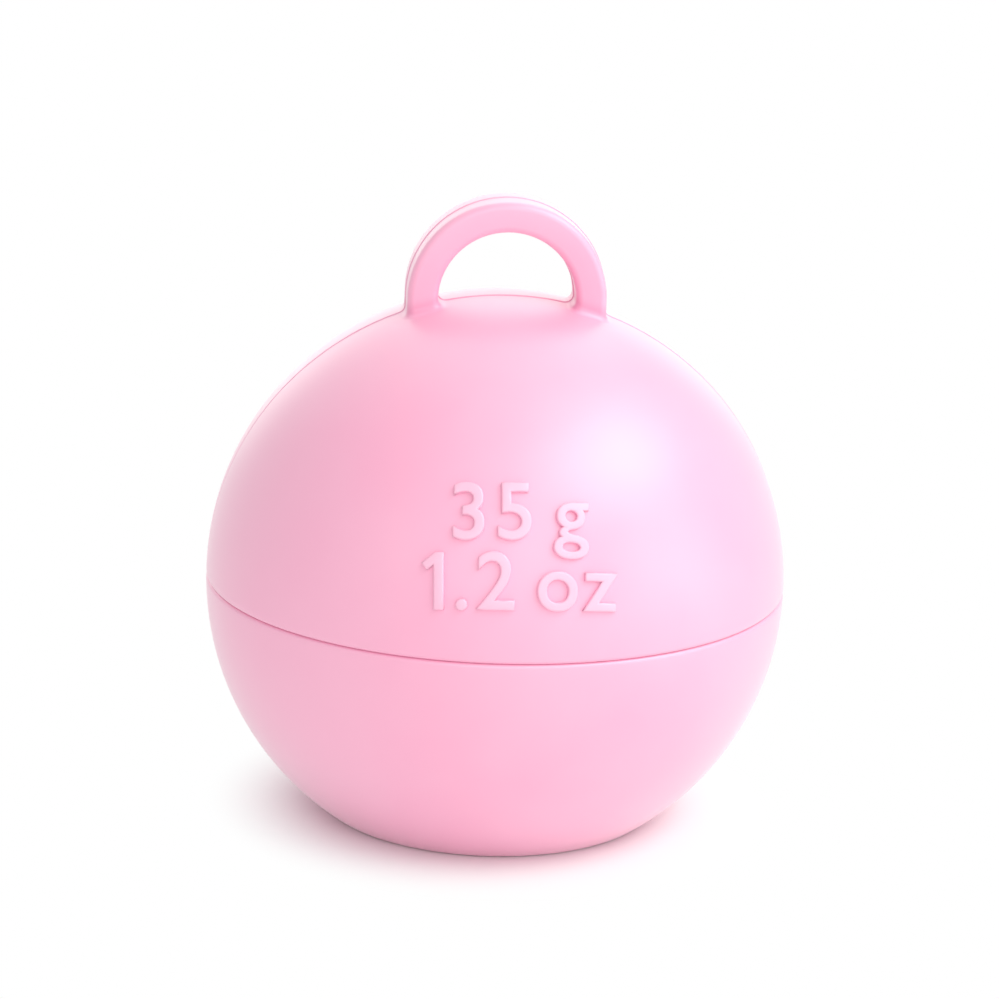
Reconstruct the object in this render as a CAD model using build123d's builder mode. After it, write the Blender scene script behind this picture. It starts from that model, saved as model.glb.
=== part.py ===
from build123d import *
from math import sqrt
import os

# A balloon weight: two moulded half balls closed round a charge of sand, with a tying loop on the crown.
# Millimetres, +Z up. The origin is the middle of the flat base, on the surface that the ball stands on.

os.makedirs("parts", exist_ok=True)

# The ball and its flat base
ball_diameter = 40.0
wall = 1.8
base_diameter = 22.6  # circle in which the base plane cuts the ball
base_edge_radius = 1.0
base_thickness = 1.8

# The shallow dish under the base, which keeps the gate mark off the table
foot_width = 3.8
dish_depth = 0.5
dish_chamfer = 0.3
gate_diameter = 2.4
gate_height = 0.2

# The lap joint at the seam: a spigot on the lower half snaps into the skirt of the upper half
rim_chamfer = 0.25  # the two rims meet, and their chamfers leave a fine groove round the ball
spigot_height = 2.4
spigot_thickness = 0.8
spigot_lead_in = 0.3
lap_clearance = 0.1
bead_depth = 0.3
bead_width = 0.8
bead_height = 1.2

# The tying loop, a flat bar bent over in a half circle that springs from the height of the crown
eye_diameter = 9.4
loop_bar = 2.1
loop_width = 4.0
loop_edge_radius = 0.5
loop_root_radius = 0.6

# The charge of sand
sand_clearance = 0.2
sand_below_brim = 0.4

# Heights and radii that follow
ball_radius = ball_diameter / 2
base_radius = base_diameter / 2
cavity_radius = ball_radius - wall
seam_z = sqrt(ball_radius**2 - base_radius**2)
crown_z = seam_z + ball_radius
floor_z = dish_depth + base_thickness
spigot_radius = cavity_radius + spigot_thickness
spigot_top = seam_z + spigot_height
skirt_radius = spigot_radius + lap_clearance
bead_z = seam_z + bead_height
groove_width = bead_width + 2 * lap_clearance
eye_radius = eye_diameter / 2
loop_radius = eye_radius + loop_bar


def ball_level_radius(radius, z):
    """Radius of the circle in which the level z cuts a ball about the seam's centre."""
    return sqrt(radius**2 - (z - seam_z) ** 2)


# The chamfers at the seam start on the ball and end on the flat where the two rims meet
chamfer_start = ball_level_radius(ball_radius, seam_z + rim_chamfer)
rim_radius = ball_radius - rim_chamfer

# Lower half: a bowl with a flat base, a shoulder at the seam and a spigot with a snap bead
with BuildPart() as lower_shell:
    with BuildSketch(Plane.XZ) as bowl_section:
        with BuildLine():
            Line((0, 0), (base_radius, 0))
            RadiusArc((base_radius, 0), (chamfer_start, seam_z - rim_chamfer), -ball_radius)
            Line((chamfer_start, seam_z - rim_chamfer), (rim_radius, seam_z))
            Line((rim_radius, seam_z), (0, seam_z))
            Line((0, seam_z), (0, 0))
        make_face()
        base_corner = bowl_section.vertices().group_by(Axis.Y)[0].sort_by(Axis.X)[-1]
        fillet(base_corner, base_edge_radius)
    revolve(axis=Axis.Z)

    with BuildSketch(Plane.XY.offset(seam_z)) as spigot_section:
        Circle(spigot_radius)
    extrude(amount=spigot_height)
    brim = lower_shell.edges().filter_by(GeomType.CIRCLE).sort_by(Axis.Z)[-1]
    chamfer(brim, spigot_lead_in)
    with BuildSketch(Plane.XZ) as bead_section:
        with BuildLine():
            Polyline(
                (spigot_radius, bead_z - bead_width / 2),
                (spigot_radius + bead_depth, bead_z),
                (spigot_radius, bead_z + bead_width / 2),
                close=True,
            )
        make_face()
    revolve(axis=Axis.Z)

    with BuildSketch(Plane.XZ) as hollow_section:
        floor_radius = ball_level_radius(cavity_radius, floor_z)
        with BuildLine():
            Line((0, floor_z), (floor_radius, floor_z))
            RadiusArc((floor_radius, floor_z), (cavity_radius, seam_z), -cavity_radius)
            Line((cavity_radius, seam_z), (cavity_radius, spigot_top))
            Line((cavity_radius, spigot_top), (0, spigot_top))
            Line((0, spigot_top), (0, floor_z))
        make_face()
    revolve(axis=Axis.Z, mode=Mode.SUBTRACT)

    with BuildSketch(Plane.XY) as dish_section:
        Circle(base_radius - foot_width)
    extrude(amount=dish_depth, mode=Mode.SUBTRACT)
    dish_rim = lower_shell.edges().filter_by(GeomType.CIRCLE).group_by(Axis.Z)[0].sort_by(SortBy.RADIUS)[0]
    chamfer(dish_rim, dish_chamfer)
    with BuildSketch(Plane.XY.offset(dish_depth)) as gate_section:
        Circle(gate_diameter / 2)
    extrude(amount=-gate_height)
lower_shell.part.label = "lower_shell"
export_step(lower_shell.part, "parts/lower_shell.step")

# Sand: level on top, a little below the spigot's brim, and lying on the floor of the bowl
with BuildPart() as sand_fill:
    with BuildSketch(Plane.XZ) as sand_section:
        sand_radius = cavity_radius - sand_clearance
        sand_top = spigot_top - sand_below_brim
        sand_foot = ball_level_radius(sand_radius, floor_z)
        with BuildLine():
            Line((0, floor_z), (sand_foot, floor_z))
            RadiusArc((sand_foot, floor_z), (sand_radius, seam_z), -sand_radius)
            Line((sand_radius, seam_z), (sand_radius, sand_top))
            Line((sand_radius, sand_top), (0, sand_top))
            Line((0, sand_top), (0, floor_z))
        make_face()
    revolve(axis=Axis.Z)
sand_fill.part.label = "sand_fill"
export_step(sand_fill.part, "parts/sand_fill.step")

# Upper half: the loop, its edges rounded, is run into the dome, which is then hollowed for the spigot
with BuildPart() as upper_shell:
    with BuildSketch(Plane.XZ) as loop_section:
        with BuildLine():
            Line((eye_radius, seam_z), (loop_radius, seam_z))
            Line((loop_radius, seam_z), (loop_radius, crown_z))
            CenterArc((0, crown_z), loop_radius, 0, 180)
            Line((-loop_radius, crown_z), (-loop_radius, seam_z))
            Line((-loop_radius, seam_z), (-eye_radius, seam_z))
            Line((-eye_radius, seam_z), (-eye_radius, crown_z))
            CenterArc((0, crown_z), eye_radius, 180, -180)
            Line((eye_radius, crown_z), (eye_radius, seam_z))
        make_face()
    extrude(amount=loop_width / 2, both=True)
    loop_edges = upper_shell.faces().filter_by(Axis.Y).edges().filter_by(Axis.X, reverse=True)
    fillet(loop_edges, loop_edge_radius)

    with BuildSketch(Plane.YZ) as dome_section:
        with BuildLine():
            Line((0, seam_z), (rim_radius, seam_z))
            Line((rim_radius, seam_z), (chamfer_start, seam_z + rim_chamfer))
            RadiusArc((chamfer_start, seam_z + rim_chamfer), (0, crown_z), -ball_radius)
            Line((0, crown_z), (0, seam_z))
        make_face()
    revolve(axis=Axis.Z)
    loop_roots = upper_shell.edges(Select.NEW)
    fillet(loop_roots, loop_root_radius)

    with BuildSketch(Plane.YZ) as cavity_section:
        step_radius = ball_level_radius(cavity_radius, spigot_top)
        cavity_crown = seam_z + cavity_radius
        with BuildLine():
            Line((0, seam_z), (skirt_radius, seam_z))
            Line((skirt_radius, seam_z), (skirt_radius, spigot_top))
            Line((skirt_radius, spigot_top), (step_radius, spigot_top))
            RadiusArc((step_radius, spigot_top), (0, cavity_crown), -cavity_radius)
            Line((0, cavity_crown), (0, seam_z))
        make_face()
    revolve(axis=Axis.Z, mode=Mode.SUBTRACT)
    with BuildSketch(Plane.YZ) as groove_section:
        with BuildLine():
            Polyline(
                (skirt_radius, bead_z - groove_width / 2),
                (skirt_radius + bead_depth, bead_z),
                (skirt_radius, bead_z + groove_width / 2),
                close=True,
            )
        make_face()
    revolve(axis=Axis.Z, mode=Mode.SUBTRACT)
upper_shell.part.label = "upper_shell"
export_step(upper_shell.part, "parts/upper_shell.step")
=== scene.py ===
from math import acos, asin, atan2, cos, hypot, pi, radians, sin, sqrt, tan

import bmesh
import bpy
from mathutils import Matrix, Vector, geometry, noise


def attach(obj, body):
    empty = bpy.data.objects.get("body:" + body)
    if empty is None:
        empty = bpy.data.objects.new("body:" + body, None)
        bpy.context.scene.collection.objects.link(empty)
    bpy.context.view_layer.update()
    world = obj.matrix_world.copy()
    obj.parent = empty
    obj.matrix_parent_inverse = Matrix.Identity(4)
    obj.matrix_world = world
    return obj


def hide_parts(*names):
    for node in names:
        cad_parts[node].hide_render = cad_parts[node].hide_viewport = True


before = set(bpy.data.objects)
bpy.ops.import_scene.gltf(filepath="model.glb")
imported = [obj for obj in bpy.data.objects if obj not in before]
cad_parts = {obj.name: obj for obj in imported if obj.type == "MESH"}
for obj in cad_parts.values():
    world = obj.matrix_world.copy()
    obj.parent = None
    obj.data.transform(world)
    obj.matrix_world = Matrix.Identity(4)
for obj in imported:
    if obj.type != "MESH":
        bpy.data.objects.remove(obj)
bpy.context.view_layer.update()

# The lower half of the ball: a thin-walled bowl of pink polystyrene, moulded in one piece through a gate
# under its base. It stands on a flat ring round a shallow dish. At the rim a shoulder stops the upper half,
# and a spigot with a snap bead reaches up inside it and holds it.
mm = 0.001
ball_radius = 20.0 * mm
wall = 1.8 * mm
base_radius = 11.3 * mm
base_edge_radius = 1.0 * mm
base_thickness = 1.8 * mm
foot_width = 3.8 * mm
dish_depth = 0.5 * mm
dish_chamfer = 0.3 * mm
gate_radius = 1.2 * mm
gate_height = 0.2 * mm
rim_edge_radius = 0.28 * mm
spigot_height = 2.4 * mm
spigot_thickness = 0.8 * mm
spigot_lead_in = 0.3 * mm
bead_depth = 0.3 * mm
bead_width = 0.8 * mm
bead_height = 1.2 * mm
soft_corner = 0.06 * mm
weld_distance = soft_corner / 100
axis_reach = soft_corner / 10

seam_z = sqrt(ball_radius**2 - base_radius**2)
ball_centre = (0.0, seam_z)
cavity_radius = ball_radius - wall
floor_z = dish_depth + base_thickness
spigot_radius = cavity_radius + spigot_thickness
spigot_top = seam_z + spigot_height
bead_z = seam_z + bead_height
turns = 240
ball_step = radians(1.2)
base_edge_steps = 12


def arc(centre, radius, start, end, steps=6):
    """Points (r, z) of an arc in the section plane. Angles run from level outwards to straight up."""
    angles = [start + (end - start) * k / steps for k in range(steps + 1)]
    return [(centre[0] + radius * cos(a), centre[1] + radius * sin(a)) for a in angles]


def ball_arc(radius, start, end):
    """An arc about the ball's centre, in steps fine enough for a smooth outline."""
    return arc(ball_centre, radius, start, end, round(abs(end - start) / ball_step))


def rounded(corners, steps=4):
    """Straight runs through (r, z, radius) corners, with each corner turned on its own radius."""
    points = []
    for k, (r, z, radius) in enumerate(corners):
        if radius == 0:
            points.append((r, z))
            continue
        corner = Vector((r, z))
        back = (Vector(corners[k - 1][:2]) - corner).normalized()
        ahead = (Vector(corners[k + 1][:2]) - corner).normalized()
        half_angle = back.angle(ahead) / 2
        centre = corner + (back + ahead).normalized() * radius / sin(half_angle)
        reach = radius / tan(half_angle)
        first = corner + back * reach - centre
        last = corner + ahead * reach - centre
        points += [tuple(centre + first.slerp(last, s / steps) * radius) for s in range(steps + 1)]
    return points


def bridge(mesh, ring, following):
    """Faces between two rings of corners, of which either may be a single point."""
    around = ((ring, 0), (ring, 1), (following, 1), (following, 0))
    for k in range(max(len(ring), len(following))):
        corners = [rim[(k + step) % len(rim)] for rim, step in around]
        mesh.faces.new(tuple(dict.fromkeys(corners)))


def turned(mesh, section):
    """Spins a section of (r, z) points about the upright axis and returns its rings of corners."""
    rings = []
    for r, z in section:
        count = turns if r > axis_reach else 1
        angles = [2 * pi * k / count for k in range(count)]
        rings.append([mesh.verts.new((r * cos(a), r * sin(a), z)) for a in angles])
    for ring, following in zip(rings, rings[1:]):
        bridge(mesh, ring, following)
    return rings


def finished_piece(name, mesh, material):
    """Welds a mesh, faces it outwards, shades it smooth and puts it in the scene as a named piece."""
    bmesh.ops.remove_doubles(mesh, verts=mesh.verts, dist=weld_distance)
    bmesh.ops.recalc_face_normals(mesh, faces=mesh.faces)
    data = bpy.data.meshes.new(name)
    mesh.to_mesh(data)
    mesh.free()
    data.shade_smooth()
    data.materials.append(material)
    piece = bpy.data.objects.new(name, data)
    bpy.context.scene.collection.objects.link(piece)
    piece.modifiers.new("even_shading", "WEIGHTED_NORMAL").keep_sharp = True
    return piece


class Shade:
    """A shader socket. Arithmetic on it adds Math nodes to its tree."""

    def __init__(self, socket):
        self.socket = socket

    def math(self, operation, *values):
        made = self.socket.id_data.nodes.new("ShaderNodeMath")
        made.operation = operation
        for socket, value in zip(made.inputs, values):
            feed(socket, value)
        return Shade(made.outputs[0])

    def __add__(self, other):
        return self.math("ADD", self, other)

    def __sub__(self, other):
        return self.math("SUBTRACT", self, other)

    def __rsub__(self, other):
        return self.math("SUBTRACT", other, self)

    def __mul__(self, other):
        return self.math("MULTIPLY", self, other)

    def __abs__(self):
        return self.math("ABSOLUTE", self)

    __radd__ = __add__
    __rmul__ = __mul__

    def output(self, name):
        """Another output of the same node."""
        return Shade(self.socket.node.outputs[name])


def feed(socket, value):
    """Links a node's input to a Shade, or sets it to a plain value."""
    if isinstance(value, Shade):
        socket.id_data.links.new(value.socket, socket)
    else:
        socket.default_value = value


class Finish:
    """A node tree that a finish is written into."""

    def __init__(self, owner):
        owner.use_nodes = True
        self.tree = owner.node_tree
        self.tree.nodes.clear()

    def node(self, kind, settings=None, inputs=None):
        """Adds a node with its settings, then its sockets' values or links. Returns its first output."""
        made = self.tree.nodes.new("ShaderNode" + kind)
        for name, value in (settings or {}).items():
            setattr(made, name, value)
        for name, value in (inputs or {}).items():
            feed(made.inputs[name], value)
        return Shade(made.outputs[0]) if made.outputs else None

    def blend(self, amount, first, second):
        """Mixes two colours."""
        mixed = self.node("Mix", {"data_type": "RGBA"}, {0: amount, 6: first, 7: second})
        return Shade(mixed.socket.node.outputs[2])

    def ramp(self, value, low, high):
        """0 where the value is at low, 1 at high, with a soft start and end."""
        return self.node(
            "MapRange",
            {"interpolation_type": "SMOOTHSTEP"},
            {"Value": value, "From Min": low, "From Max": high},
        )

    def mottle(self, place, size, detail=2.0):
        """Cloudy noise from 0 to 1, with spots of about the given size in metres."""
        return self.node("TexNoise", inputs={"Vector": place, "Scale": 1 / size, "Detail": detail})


plastic_pink = (0.920, 0.388, 0.580, 1.0)
plastic_pale = (0.925, 0.420, 0.605, 1.0)
# The colour of the darker share: painted shade in the loop's roots and round the figures, and a darker seam
# and parting line.
plastic_deep = (0.720, 0.130, 0.330, 1.0)
# Rubbed wear on the foot and in the eye, and also the painted highlight on the mark's tops.
plastic_rubbed_and_highlight = (0.955, 0.570, 0.730, 1.0)
plastic_roughness = 0.44
plastic_gloss = {
    "IOR": 1.5,
    "Specular IOR Level": 0.7,
    "Coat Weight": 1.0,
    "Coat Roughness": 0.42,
    "Coat IOR": 1.6,
    "Sheen Weight": 0.4,
    "Sheen Roughness": 0.35,
}
rubbed_roughness = 0.10
flow_mark_size = 9.0 * mm
flow_mark_limits = (0.3, 0.7)
flow_mark_roughness = 0.06
mould_texture_size = 0.22 * mm
mould_texture_depth = 0.003 * mm


def pink_plastic(name, own_marks):
    """Satin pink plastic with faint flow clouds and a fine blasted mould texture.

    own_marks gives what only one piece has: a darker share, a paler share and a relief in texture depths.
    Some of the darker share is painted shade, and the paler share on the mark is a painted highlight.
    """
    material = bpy.data.materials.new(name)
    finish = Finish(material)
    place = finish.node("TexCoord").output("Object")
    clouds = finish.ramp(finish.mottle(place, flow_mark_size), *flow_mark_limits)
    texture = finish.mottle(place, mould_texture_size)
    darker_share, paler_share, relief = own_marks(finish, place)
    colour = finish.blend(clouds, plastic_pink, plastic_pale)
    colour = finish.blend(paler_share, colour, plastic_rubbed_and_highlight)
    colour = finish.blend(darker_share, colour, plastic_deep)
    bump = finish.node(
        "Bump", inputs={"Distance": mould_texture_depth, "Strength": 1.0, "Height": texture + relief}
    )
    roughness = plastic_roughness + flow_mark_roughness * (clouds - 0.5) + rubbed_roughness * paler_share
    surface = finish.node(
        "BsdfPrincipled",
        inputs={"Base Color": colour, "Roughness": roughness, "Normal": bump, **plastic_gloss},
    )
    finish.node("OutputMaterial", inputs={"Surface": surface})
    return material


foot_wear_height = 0.12 * mm
scratch_size = 0.35 * mm
scratch_detail = 4.0
scratch_limits = (0.42, 0.62)
scuff_size = 2.5 * mm
scuff_limits = (0.35, 0.65)
scuff_paleness = 0.7
scuff_depth = 1.5
# How much darker the seam is painted.
seam_darkening = 0.1


def foot_wear(finish, place):
    """The standing ring has scuffs of short scratches, and the seam is a little darker."""
    height = finish.node("SeparateXYZ", inputs={"Vector": place}).output("Z")
    on_foot = 1 - finish.ramp(height, foot_wear_height / 2, foot_wear_height)
    scratches = finish.ramp(finish.mottle(place, scratch_size, scratch_detail), *scratch_limits)
    scuffs = finish.ramp(finish.mottle(place, scuff_size), *scuff_limits)
    in_seam = finish.ramp(height, seam_z - rim_edge_radius / 2, seam_z)
    paler_share = on_foot * scuffs * scratches
    return seam_darkening * in_seam, scuff_paleness * paler_share, -scuff_depth * paler_share


gate_z = dish_depth - gate_height
dish_radius = base_radius - foot_width
base_edge_r = sqrt((ball_radius - base_edge_radius) ** 2 - (seam_z - base_edge_radius) ** 2)
base_edge_angle = atan2(base_edge_radius - seam_z, base_edge_r)
rim_edge_r = sqrt((ball_radius - rim_edge_radius) ** 2 - rim_edge_radius**2)
rim_edge_angle = atan2(rim_edge_radius, rim_edge_r)
floor_angle = asin((floor_z - seam_z) / cavity_radius)

bowl = bmesh.new()
bowl_section = rounded(
    [
        (0.0, gate_z, 0),
        (gate_radius, gate_z, soft_corner),
        (gate_radius, dish_depth, soft_corner),
        (dish_radius, dish_depth, 3 * soft_corner),
        (dish_radius + dish_chamfer, 0.0, 2 * soft_corner),
        (base_edge_r, 0.0, 0),
    ]
)
base_edge_middle = (base_edge_r, base_edge_radius)
lower_rim_middle = (rim_edge_r, seam_z - rim_edge_radius)
bowl_section += arc(base_edge_middle, base_edge_radius, -pi / 2, base_edge_angle, base_edge_steps)[1:]
bowl_section += ball_arc(ball_radius, base_edge_angle, -rim_edge_angle)[1:]
bowl_section += arc(lower_rim_middle, rim_edge_radius, -rim_edge_angle, pi / 2)[1:]
bowl_section += rounded(
    [
        (spigot_radius, seam_z, 0),
        (spigot_radius, bead_z - bead_width / 2, 0),
        (spigot_radius + bead_depth, bead_z, soft_corner),
        (spigot_radius, bead_z + bead_width / 2, 0),
        (spigot_radius, spigot_top - spigot_lead_in, soft_corner),
        (spigot_radius - spigot_lead_in, spigot_top, soft_corner),
        (cavity_radius, spigot_top, soft_corner),
        (cavity_radius, seam_z, 0),
    ]
)
bowl_section += ball_arc(cavity_radius, 0.0, floor_angle)[1:]
bowl_section += [(0.0, floor_z)]
turned(bowl, bowl_section)
lower_half = finished_piece("lower_half", bowl, pink_plastic("pink_plastic_lower", foot_wear))
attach(lower_half, "root")
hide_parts("lower_shell")

# The charge: dry quartz sand, poured into the lower half before the ball is closed. It lies on the bowl's
# floor and fills it to just under the brim, with an uneven top where it was struck off by hand.
sand_clearance = 0.2 * mm
sand_below_brim = 0.4 * mm
sand_ripple = 0.5 * mm
sand_ripple_size = 5.0 * mm
sand_rings = 28
grain_size = 0.35 * mm
grain_relief = 0.8
brown_grain_limits = (0.0, 0.45)
white_grain_limits = (0.75, 1.0)
glassy_grain_limits = (0.8, 1.0)
glassy_grain_gloss = 0.35
sand_roughness = 0.95
sand_tan = (0.672, 0.527, 0.305, 1.0)
sand_brown = (0.380, 0.240, 0.110, 1.0)
sand_white = (0.830, 0.770, 0.640, 1.0)

sand_radius = cavity_radius - sand_clearance
sand_top = spigot_top - sand_below_brim
sand_foot_angle = asin((floor_z - seam_z) / sand_radius)


def dry_sand():
    """Loose grains, each with its own tone from brown to glassy white, and a rough broken surface."""
    material = bpy.data.materials.new("dry_sand")
    finish = Finish(material)
    place = finish.node("TexCoord").output("Object")
    grains = finish.node("TexVoronoi", inputs={"Vector": place, "Scale": 1 / grain_size})
    tone = finish.node("SeparateColor", inputs={"Color": grains.output("Color")})
    colour = finish.blend(finish.ramp(tone, *brown_grain_limits), sand_brown, sand_tan)
    colour = finish.blend(finish.ramp(tone, *white_grain_limits), colour, sand_white)
    bump = finish.node(
        "Bump", inputs={"Distance": grain_size / 2, "Strength": grain_relief, "Height": 1 - grains}
    )
    roughness = sand_roughness - glassy_grain_gloss * finish.ramp(tone, *glassy_grain_limits)
    surface = finish.node(
        "BsdfPrincipled", inputs={"Base Color": colour, "Roughness": roughness, "Normal": bump}
    )
    finish.node("OutputMaterial", inputs={"Surface": surface})
    return material


heap = bmesh.new()
sand_section = [(0.0, floor_z)] + ball_arc(sand_radius, sand_foot_angle, 0.0)
sand_section += [(sand_radius * (1 - k / sand_rings), sand_top) for k in range(sand_rings + 1)]
for ring in turned(heap, sand_section):
    for corner in ring:
        if corner.co.z > seam_z + spigot_height / 2:
            corner.co.z -= sand_ripple * (0.5 + 0.5 * noise.noise(corner.co / sand_ripple_size))
sand_charge = finished_piece("sand_charge", heap, dry_sand())
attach(sand_charge, "root")
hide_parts("sand_fill")

# The upper half: a dome of the same plastic, with the tying loop moulded in one piece with it. Its skirt
# slips over the spigot until the bead snaps into a groove and the rims meet, with a fine line between their
# round edges. A parting line, where the slides of the mould met, runs over the crown in the loop's plane.
lap_clearance = 0.1 * mm
eye_radius = 4.7 * mm
loop_bar = 2.1 * mm
loop_width = 4.0 * mm
loop_edge_radius = 0.5 * mm
loop_root_radius = 0.6 * mm
parting_ridge_width = 0.24 * mm
parting_ridge_height = 0.06 * mm
# How much darker the parting line is painted.
parting_line_darkening = 0.25
# Painted shade in the corner where the loop's legs meet the dome.
root_painted_shade = 0.4
root_painted_shade_rise = 1.2 * mm
ribbon_rub = 0.6
ribbon_rub_depth = 0.45 * mm
ribbon_polish = 0.5
cap_radius = 10.0 * mm
cap_grid = 0.5 * mm
root_reach = 1.0 * mm
arch_start = radians(3.5)
arch_steps = 60
root_steps = 8
edge_steps = 6

crown_z = seam_z + ball_radius
ball_middle = Vector((0.0, 0.0, seam_z))
skirt_radius = spigot_radius + lap_clearance
groove_width = bead_width + 2 * lap_clearance
step_angle = asin(spigot_height / cavity_radius)
bar_middle = eye_radius + loop_bar / 2
ribbon_rub_start = crown_z + eye_radius / 3


def dome_marks(finish, place):
    """Darker along the parting line and in the seam, painted shade in the loop's roots, and ribbon rubs in
    the eye.
    """
    spot = finish.node("SeparateXYZ", inputs={"Vector": place})
    height = spot.output("Z")
    line = 1 - finish.ramp(abs(spot.output("Y")), parting_ridge_width / 2, parting_ridge_width)
    fading = finish.ramp(height, seam_z, crown_z)
    in_seam = 1 - finish.ramp(height, seam_z, seam_z + rim_edge_radius / 2)
    measure = finish.node("VectorMath", {"operation": "DISTANCE"}, {0: place, 1: ball_middle})
    rise = measure.output("Value") - ball_radius
    off_dome = finish.ramp(rise, 0.0, root_painted_shade_rise / 4)
    at_root = off_dome - finish.ramp(rise, root_painted_shade_rise / 4, root_painted_shade_rise)
    from_eye = finish.node("VectorMath", {"operation": "SUBTRACT"}, {0: place, 1: (0.0, 0.0, crown_z)})
    in_plane = finish.node("VectorMath", {"operation": "MULTIPLY"}, {0: from_eye, 1: (1.0, 0.0, 1.0)})
    reach = finish.node("VectorMath", {"operation": "LENGTH"}, {0: in_plane}).output("Value")
    in_eye = 1 - finish.ramp(reach, eye_radius, eye_radius + ribbon_rub_depth)
    under_arch = in_eye * finish.ramp(height, ribbon_rub_start, crown_z + eye_radius)
    # The roots' part of this is painted shade.
    darker_share = parting_line_darkening * line * fading + seam_darkening * in_seam + root_painted_shade * at_root
    return darker_share, ribbon_rub * under_arch, -ribbon_polish * under_arch


def bar_outline():
    """The bar's section: (distance from the eye's axis, y) places, each with its outward direction."""
    half_bar = loop_bar / 2 - loop_edge_radius
    half_width = loop_width / 2 - loop_edge_radius
    edges = []
    for k, (side, front) in enumerate(((1, 1), (-1, 1), (-1, -1), (1, -1))):
        middle = Vector((bar_middle + side * half_bar, front * half_width))
        angles = [pi / 2 * (k + s / edge_steps) for s in range(edge_steps + 1)]
        outward = [Vector((cos(a), sin(a))) for a in angles]
        edges.append([(middle + out * loop_edge_radius, out) for out in outward])
    outline = []
    for edge, following in zip(edges, edges[1:] + edges[:1]):
        (start, out), (end, _) = edge[-1], following[0]
        runs = round((end - start).length / cap_grid)
        outline += edge + [(start.lerp(end, s / runs), out) for s in range(1, runs)]
    return outline


def root_curve(place, out):
    """The fillet from the loop's right leg down to the dome, at one point of the bar's outline.

    A ball of the root's radius rolls along the corner, and its centre stays that far from leg and dome.
    """
    level = place + out * loop_root_radius
    height = sqrt((ball_radius + loop_root_radius) ** 2 - level.length_squared)
    centre = Vector((level.x, level.y, height))
    to_leg = Vector((-out.x, -out.y, 0.0))
    to_dome = -centre.normalized()
    centre.z += seam_z
    steps = [s / root_steps for s in range(root_steps + 1)]
    return [centre + to_leg.slerp(to_dome, step) * loop_root_radius for step in steps]


def add_loop(mesh):
    """Sweeps the bar from one root over the arch to the other, and returns the two rings on the dome."""
    outline = bar_outline()
    roots = [root_curve(place, out) for place, out in outline]
    right = [[curve[s] for curve in roots] for s in range(root_steps, -1, -1)]
    left = [[Vector((-p.x, p.y, p.z)) for p in ring] for ring in reversed(right)]
    arch = []
    for k in range(arch_steps + 1):
        angle = arch_start + (pi - 2 * arch_start) * k / arch_steps
        arch.append([(a * cos(angle), y, crown_z + a * sin(angle)) for (a, y), _ in outline])
    rings = [[mesh.verts.new(place) for place in ring] for ring in right + arch + left]
    for ring, following in zip(rings, rings[1:]):
        bridge(mesh, ring, following)
    return rings[0], rings[-1]


def beside_feet(x, y):
    """True where a point in plan lies clear of the loop's two roots."""
    past_bar = max(abs(abs(x) - bar_middle) - loop_bar / 2, 0.0)
    past_width = max(abs(y) - loop_width / 2, 0.0)
    return hypot(past_bar, past_width) > root_reach


def net_between(mesh, loops, holes, plan, corners):
    """Fills a plan, which begins with the points of closed loops, with triangles between them.

    holes gives the places in the list of those loops that stay open.
    """
    border = []
    spans = []
    for loop in loops:
        first = len(border)
        border += [(first + k, first + (k + 1) % len(loop)) for k in range(len(loop))]
        spans.append(set(range(first, len(border))))
    within_border = 1
    for face in geometry.delaunay_2d_cdt(plan, border, [], within_border, weld_distance)[2]:
        if not any(spans[hole].issuperset(face) for hole in holes):
            mesh.faces.new([corners[k] for k in face])


def add_cap(mesh, rim, feet):
    """Fills the dome between its top ring and the loop's feet with an even net on the sphere."""
    loops = [rim, *feet]
    corners = [corner for loop in loops for corner in loop]
    plan = [corner.co.xy / mm for corner in corners]
    ring_count = round(cap_radius / cap_grid)
    for ring in range(ring_count):
        radius = cap_radius * ring / ring_count
        around = max(round(2 * pi * radius / cap_grid), 1)
        for k in range(around):
            angle = 2 * pi * k / around
            x, y = radius * cos(angle), radius * sin(angle)
            if beside_feet(x, y):
                plan.append(Vector((x, y)) / mm)
                corners.append(mesh.verts.new((x, y, seam_z + sqrt(ball_radius**2 - x**2 - y**2))))
    net_between(mesh, loops, range(1, len(loops)), plan, corners)


def raise_parting_line(mesh):
    """Raises a fine ridge in the loop's plane, round the loop and over the dome, lower towards the seam."""
    snap = soft_corner / 20
    half_width = parting_ridge_width / 2
    across = Vector((0.0, 1.0, 0.0))
    for offset in (-half_width, 0.0, half_width):
        parts = mesh.verts[:] + mesh.edges[:] + mesh.faces[:]
        bmesh.ops.bisect_plane(mesh, geom=parts, dist=snap, plane_co=across * offset, plane_no=across)
    bmesh.ops.recalc_face_normals(mesh, faces=mesh.faces)
    mesh.normal_update()
    outside = set()
    for corner in mesh.verts:
        on_skin = (corner.co - ball_middle).length > ball_radius - soft_corner
        if on_skin and corner.co.z > seam_z + rim_edge_radius:
            outside.add(corner)
    for edge in mesh.edges:
        start, end = edge.verts
        along = abs(start.co.y - end.co.y) < snap and abs(start.co.y) < half_width + snap
        if along and start in outside and end in outside:
            edge.smooth = False
    for corner in outside:
        if abs(corner.co.y) < snap:
            fading = min((corner.co.z - seam_z) / ball_radius, 1.0)
            corner.co += corner.normal * parting_ridge_height * fading


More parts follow.
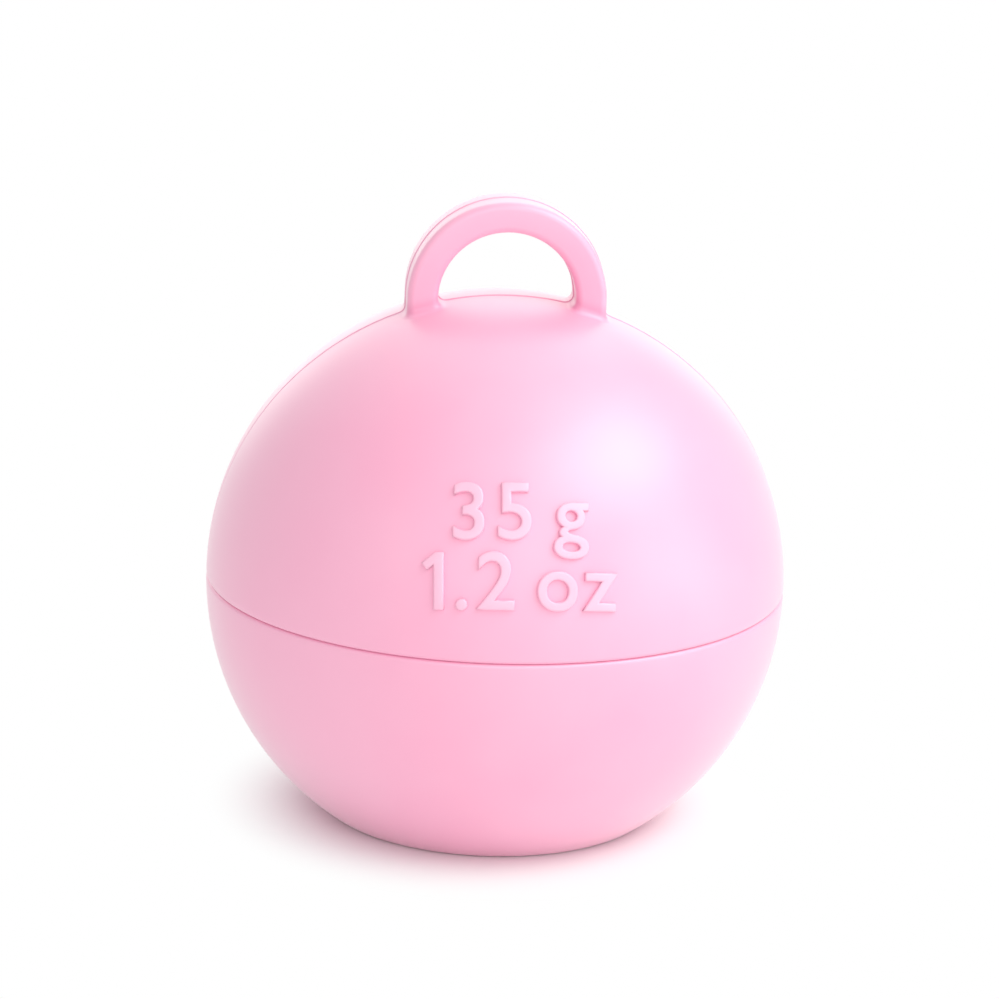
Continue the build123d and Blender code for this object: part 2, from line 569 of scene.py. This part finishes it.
dome = bmesh.new()
upper_rim_middle = (rim_edge_r, seam_z + rim_edge_radius)
dome_section = ball_arc(ball_radius, acos(cap_radius / ball_radius), rim_edge_angle)
dome_section += arc(upper_rim_middle, rim_edge_radius, rim_edge_angle, -pi / 2)[1:]
dome_section += rounded(
    [
        (skirt_radius, seam_z, 0),
        (skirt_radius, bead_z - groove_width / 2, 0),
        (skirt_radius + bead_depth, bead_z, soft_corner),
        (skirt_radius, bead_z + groove_width / 2, 0),
        (skirt_radius, spigot_top, 0),
        (cavity_radius * cos(step_angle), spigot_top, 0),
    ]
)
dome_section += ball_arc(cavity_radius, step_angle, pi / 2)[1:]
dome_rings = turned(dome, dome_section)
add_cap(dome, dome_rings[0], add_loop(dome))
raise_parting_line(dome)
upper_half = finished_piece("upper_half", dome, pink_plastic("pink_plastic_upper", dome_marks))
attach(upper_half, "root")
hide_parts("upper_shell")

# The mass mark: "35 g" over "1.2 oz" in raised figures on the front of the dome, moulded in one piece with
# it from a shallow engraving in the mould. Their tops carry a painted highlight, a little paler, and the
# corner where they leave the dome carries painted shade.
mark_text = "35 g\n1.2 oz"
mark_type_size = 5.3 * mm
mark_stroke_growth = 0.08 * mm
mark_letter_spacing = 1.12
mark_word_spacing = 0.4
mark_line_spacing = 0.86
mark_kerning_of_one = -11.0
mark_flag_corners = ((0.1, 0.0), (-1.48, -1.23), (-0.95, -1.90), (0.0, -1.16))
mark_rise = 0.30 * mm
mark_root = 0.30 * mm
mark_edge_radius = 0.13 * mm
mark_edge_steps = 4
mark_latitude = radians(22.4)
mark_straight_step = 0.6 * mm
mark_curve_step = 0.22 * mm
mark_least_curve_steps = 3
mark_least_bow = 0.006 * mm
mark_shortest_run = 0.1 * mm
mark_tip_limit = 0.4
# Painted shade at the figures' roots, and a painted highlight on their tops.
mark_painted_shade = 0.2
mark_painted_highlight = 0.45
mark_polish = 0.5

mark_outward = Vector((0.0, -cos(mark_latitude), sin(mark_latitude)))
mark_right = Vector((1.0, 0.0, 0.0))
mark_up = mark_outward.cross(mark_right)


def type_run(start, end):
    """Flat points along one run of an outline, from its first knot to just before the next."""
    run = (start.co, start.handle_right, end.handle_left, end.co)
    length = (end.co - start.co).length
    _, middle, _ = geometry.interpolate_bezier(*run, 3)
    if (middle - (start.co + end.co) / 2).length > mark_least_bow:
        steps = max(round(length / mark_curve_step), mark_least_curve_steps)
    else:
        steps = max(round(length / mark_straight_step), 1)
    return [point.xy for point in geometry.interpolate_bezier(*run, steps + 1)[:-1]]


def slimness(loop):
    """How tall a loop is for its width."""
    width, height = (max(values) - min(values) for values in zip(*loop))
    return height / width


def flagged(stem):
    """The figure 1, a bare stem in this type, with a flag at its head so that it reads as a figure.

    The flag's corners are given in stem widths from the stem's upper left corner.
    """
    left, bottom = (min(values) for values in zip(*stem))
    right, top = (max(values) for values in zip(*stem))
    width = right - left
    corners = [Vector((left, bottom)), Vector((right, bottom)), Vector((right, top))]
    corners += [Vector((left + x * width, top + y * width)) for x, y in mark_flag_corners]
    outline = []
    for start, end in zip(corners, corners[1:] + corners[:1]):
        steps = max(round((end - start).length / mark_straight_step), 1)
        outline += [start.lerp(end, s / steps) for s in range(steps)]
    return outline


def type_outlines():
    """The outlines of the mark's type as closed loops of flat points, about the mark's middle."""
    lettering = bpy.data.curves.new("mass_mark", "FONT")
    lettering.body = mark_text
    lettering.body_format[mark_text.index("1")].kerning = mark_kerning_of_one
    lettering.align_x = "CENTER"
    lettering.space_character = mark_letter_spacing
    lettering.space_word = mark_word_spacing
    lettering.space_line = mark_line_spacing
    lettering.size = mark_type_size
    holder = bpy.data.objects.new("mass_mark", lettering)
    loops = []
    for spline in holder.to_curve(bpy.context.evaluated_depsgraph_get()).splines:
        knots = list(spline.bezier_points)
        loop = []
        for start, end in zip(knots, knots[1:] + knots[:1]):
            loop += type_run(start, end)
        before = loop[-1:] + loop[:-1]
        loops.append([p for p, last in zip(loop, before) if (p - last).length > mark_shortest_run])
    holder.to_curve_clear()
    bpy.data.objects.remove(holder)
    bpy.data.curves.remove(lettering)
    stem = max(loops, key=slimness)
    loops = [flagged(loop) if loop is stem else loop for loop in loops]
    points = [point for loop in loops for point in loop]
    low = Vector([min(values) for values in zip(*points)])
    high = Vector([max(values) for values in zip(*points)])
    return [[point - (low + high) / 2 for point in loop] for loop in loops]


def grown(loop, distance):
    """A loop moved out of the stroke that it bounds, or into it by a negative distance.

    Corners stay sharp, and a limit keeps thin tips from running far out.
    """
    points = []
    for before, point, after in zip(loop[-1:] + loop[:-1], loop, loop[1:] + loop[:1]):
        along = (point - before).normalized()
        onward = (after - point).normalized()
        outward = Vector((along.y + onward.y, -along.x - onward.x)).normalized()
        cos_half_turn = sqrt(max(1 + along.dot(onward), mark_tip_limit) / 2)
        points.append(point + outward * distance / cos_half_turn)
    return points


def runs_clockwise(loop):
    """True for the outline of a hole. The outer outlines of the type run anticlockwise."""
    return sum(point.cross(after) for point, after in zip(loop, loop[1:] + loop[:1])) < 0


def on_dome(point, level):
    """Bends a flat point onto the front of the dome, at a level over its surface."""
    reach = point.length / ball_radius
    aside = (mark_right * point.x + mark_up * point.y).normalized()
    return ball_middle + (mark_outward * cos(reach) + aside * sin(reach)) * (ball_radius + level)


def raise_figures(mesh):
    """Builds the figures ring by ring, from their roots in the dome, up their walls, over their edges."""
    loops = type_outlines()
    levels = [(mark_stroke_growth, -mark_root)]
    for k in range(mark_edge_steps + 1):
        turn = pi / 2 * k / mark_edge_steps
        growth = mark_stroke_growth - mark_edge_radius * (1 - cos(turn))
        levels.append((growth, mark_rise - mark_edge_radius * (1 - sin(turn))))
    plans = [[grown(loop, growth) for loop in loops] for growth, _ in levels]
    stacks = []
    for plan, (_, level) in zip(plans, levels):
        stacks.append([[mesh.verts.new(on_dome(point, level)) for point in loop] for loop in plan])
    for stack, following in zip(stacks, stacks[1:]):
        for ring, next_ring in zip(stack, following):
            bridge(mesh, ring, next_ring)
    holes = [k for k, loop in enumerate(loops) if runs_clockwise(loop)]
    for plan, stack in ((plans[0], stacks[0]), (plans[-1], stacks[-1])):
        points = [point / mm for loop in plan for point in loop]
        corners = [corner for ring in stack for corner in ring]
        net_between(mesh, loops, holes, points, corners)


def mark_shade_and_highlight(finish, place):
    """Paints a highlight on the tops of the figures as a paler colour, and paints shade in the corner where
    they leave the dome.
    """
    measure = finish.node("VectorMath", {"operation": "DISTANCE"}, {0: place, 1: ball_middle})
    rise = measure.output("Value") - ball_radius
    # A painted highlight on the figures' tops, and painted shade at their roots.
    paler_share = finish.ramp(rise, mark_rise / 2, mark_rise)
    figure_root_shade = 1 - finish.ramp(rise, 0.0, mark_rise / 2)
    return mark_painted_shade * figure_root_shade, mark_painted_highlight * paler_share, -mark_polish * paler_share


figures = bmesh.new()
raise_figures(figures)
mass_mark = finished_piece("mass_mark", figures, pink_plastic("pink_plastic_mark", mark_shade_and_highlight))
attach(mass_mark, "root")

# The studio: a wide white table in a white tent, lit by soft boxes. The tent and the far table are seen as
# plain white, and the table near the ball keeps its shadow.
table_radius = 900.0 * mm
table_sides = 96
table_drop = 0.02 * mm
table_white = (0.94, 0.94, 0.94, 1.0)
white = (1.0, 1.0, 1.0, 1.0)
white_seen = 1.0
tent_light = 0.60
lamp_white = (1.0, 0.99, 0.94)
shadow_radius = 11.0 * mm
shadow_fade = 9.0 * mm


def seen_rays(finish):
    """1 for what the camera sees, straight or in a reflection, and 0 for light that falls on the ball."""
    rays = finish.node("LightPath")
    return rays.output("Is Camera Ray") + rays.output("Is Glossy Ray") + rays.output("Is Transmission Ray")


tent = bpy.data.worlds.new("white_tent")
bpy.context.scene.world = tent
tent_finish = Finish(tent)
tent_lamp = tent_finish.node("Background", inputs={"Color": white, "Strength": tent_light})
tent_seen = tent_finish.node("Background", inputs={"Color": white, "Strength": white_seen})
tent_mix = tent_finish.node("MixShader", inputs={0: seen_rays(tent_finish), 1: tent_lamp, 2: tent_seen})
tent_finish.node("OutputWorld", inputs={"Surface": tent_mix})

table_material = bpy.data.materials.new("white_table")
table_finish = Finish(table_material)
table_place = table_finish.node("TexCoord").output("Object")
table_distance = table_finish.node("VectorMath", {"operation": "LENGTH"}, {0: table_place}).output("Value")
table_far = table_finish.ramp(table_distance, shadow_radius, shadow_radius + shadow_fade)
table_paper = table_finish.node("BsdfDiffuse", inputs={"Color": table_white})
table_glow = table_finish.node("Emission", inputs={"Color": white, "Strength": white_seen})
table_mix = table_finish.node(
    "MixShader", inputs={0: seen_rays(table_finish) * table_far, 1: table_paper, 2: table_glow}
)
table_finish.node("OutputMaterial", inputs={"Surface": table_mix})

table_mesh = bmesh.new()
bmesh.ops.create_circle(table_mesh, cap_ends=True, segments=table_sides, radius=table_radius)
table_data = bpy.data.meshes.new("white_table")
table_mesh.to_mesh(table_data)
table_mesh.free()
table_data.materials.append(table_material)
white_table = bpy.data.objects.new("white_table", table_data)
white_table.location.z = -table_drop
bpy.context.scene.collection.objects.link(white_table)


def soft_box(name, direction, distance, width, height, radiance):
    """A flat studio lamp that faces the ball, with its brightness as the ball sees it."""
    lamp = bpy.data.lights.new(name, "AREA")
    lamp.shape = "RECTANGLE"
    lamp.size = width
    lamp.size_y = height
    lamp.color = lamp_white
    lamp.energy = radiance * pi * width * height
    box = bpy.data.objects.new(name, lamp)
    box.location = ball_middle + Vector(direction).normalized() * distance
    box.rotation_euler = (box.location - ball_middle).to_track_quat("Z", "Y").to_euler()
    bpy.context.scene.collection.objects.link(box)


soft_box("key_box", (0.66, -0.12, 0.72), distance=350 * mm, width=150 * mm, height=150 * mm, radiance=4.6)
soft_box("second_box", (0.45, -0.45, 0.77), distance=380 * mm, width=200 * mm, height=200 * mm, radiance=3.0)
soft_box("front_box", (0.0, -0.92, 0.36), distance=420 * mm, width=400 * mm, height=260 * mm, radiance=1.2)
soft_box("right_box", (0.88, -0.40, 0.05), distance=400 * mm, width=280 * mm, height=240 * mm, radiance=1.9)
soft_box("top_box", (0.10, 0.65, 0.75), distance=400 * mm, width=260 * mm, height=240 * mm, radiance=1.5)
soft_box("back_box", (0.0, 1.0, 0.12), distance=400 * mm, width=440 * mm, height=220 * mm, radiance=0.9)

# The camera: a long lens a little above the ball and slightly to its left, held a touch out of level. It is
# turned until the ball's middle falls on its place in the picture.
picture_width = 999
camera_azimuth = radians(-5.0)
camera_elevation = radians(16.69)
camera_roll = radians(2.13)
camera_distance = 290.0 * mm
near_limit = 10.0 * mm
lens_pixels = 4175.0
ball_pixel = (494.9, 576.2)
sensor_width = 36.0

back = Vector(
    (
        sin(camera_azimuth) * cos(camera_elevation),
        -cos(camera_azimuth) * cos(camera_elevation),
        sin(camera_elevation),
    )
)
level_right = Vector((cos(camera_azimuth), sin(camera_azimuth), 0.0))
level_up = back.cross(level_right)
right = level_right * cos(camera_roll) + level_up * sin(camera_roll)
up = back.cross(right)
pixel_size = camera_distance / lens_pixels
picture_middle = picture_width / 2
aim = (
    ball_middle
    + right * (picture_middle - ball_pixel[0]) * pixel_size
    + up * (ball_pixel[1] - picture_middle) * pixel_size
)
eye = ball_middle + back * camera_distance
facing = (eye - aim).normalized()
camera_right = up.cross(facing).normalized()
camera_up = facing.cross(camera_right)
camera_data = bpy.data.cameras.new("camera")
camera_data.sensor_width = sensor_width
camera_data.lens = sensor_width * lens_pixels / picture_width
camera_data.clip_start = near_limit
camera = bpy.data.objects.new("camera", camera_data)
camera_turn = Matrix((camera_right, camera_up, facing)).transposed()
camera.matrix_world = Matrix.Translation(eye) @ camera_turn.to_4x4()
bpy.context.scene.collection.objects.link(camera)
bpy.context.scene.camera = camera
bpy.context.scene.view_settings.view_transform = "Standard"
